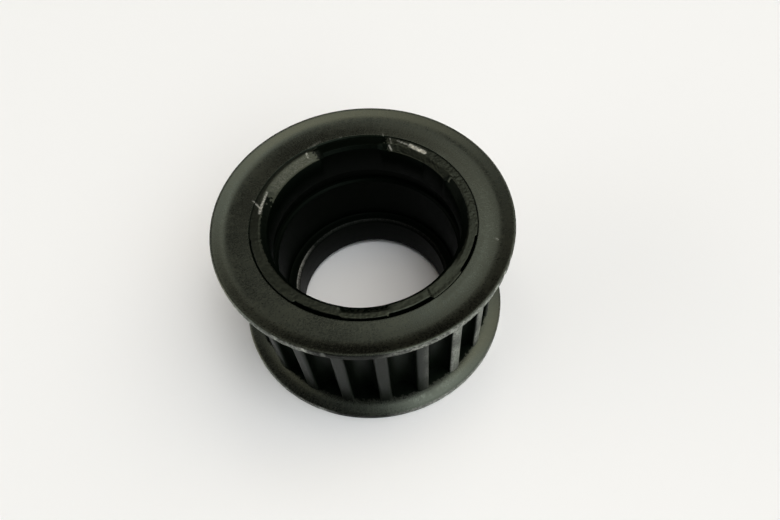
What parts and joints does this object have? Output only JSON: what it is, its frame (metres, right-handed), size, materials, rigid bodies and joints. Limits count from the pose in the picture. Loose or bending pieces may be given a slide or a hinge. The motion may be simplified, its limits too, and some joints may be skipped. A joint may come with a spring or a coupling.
{
  "type": "timing belt pulley",
  "caption": "Double-flanged toothed-belt pulley in blackened steel, with round belt grooves and a stepped bore that seats a ball bearing.",
  "frame": {"origin": "on the pulley's axis, in the plane that the lower flange's rim stands on", "axes": "+Z along the axis, out of the bearing bore's open mouth; a tooth points along -Y"},
  "size_m": [0.055, 0.055, 0.0298],
  "materials": {
    "hub_steel": "turned and hobbed, black oxide",
    "flange_steel": "pressed sheet, black oxide"
  },
  "bodies": {
    "root": {"toothed_hub": "hub_steel", "upper_flange": "flange_steel", "lower_flange": "flange_steel"}
  },
  "joints": []
}
